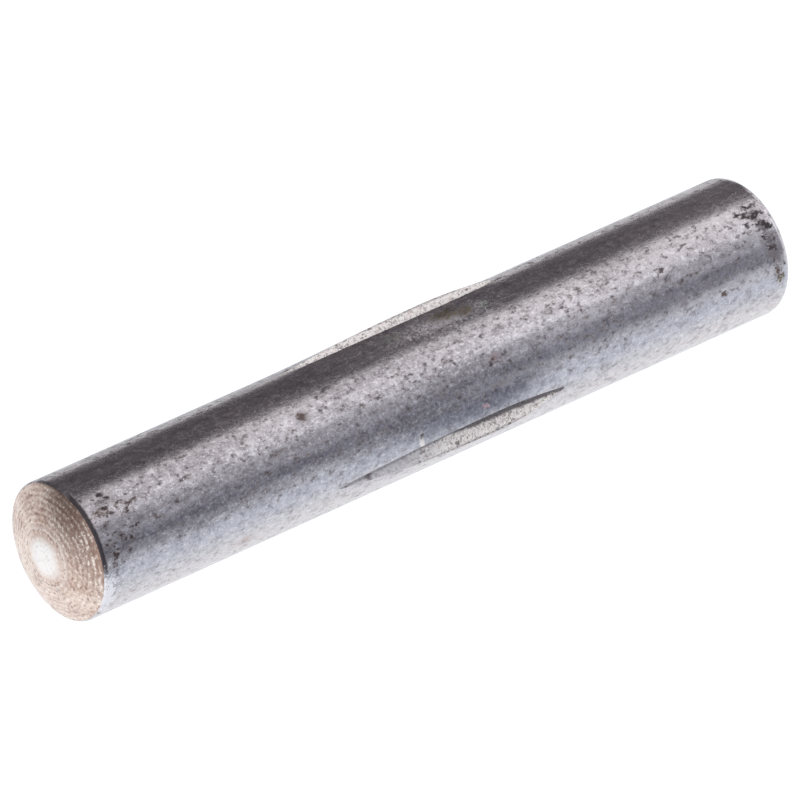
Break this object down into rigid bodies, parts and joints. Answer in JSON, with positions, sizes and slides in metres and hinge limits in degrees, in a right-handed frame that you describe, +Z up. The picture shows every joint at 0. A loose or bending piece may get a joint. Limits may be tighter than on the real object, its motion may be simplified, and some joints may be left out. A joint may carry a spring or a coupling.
{
  "type": "groove pin",
  "caption": "Solid steel pin with domed ends and pressed grooves round its middle third, which grip the hole it is driven into.",
  "frame": {"origin": "on the pin's axis, half way between the tips of its two domed ends, which is also half way along the grooves", "axes": "+X along the axis, from the end with the crisp edge to the end with the rounded edge; +Z up as the pin lies in the picture, with one groove 19 degrees from +Z towards +Y and the other two 120 degrees on either side of it; +Y completes the right hand"},
  "size_m": [0.0314, 0.0052, 0.0052],
  "materials": {
    "worn_steel": "bare drawn steel, lightly tarnished and pitted, with fine turning rings on the ends"
  },
  "bodies": {
    "root": {"groove_pin": "worn_steel"}
  },
  "joints": []
}
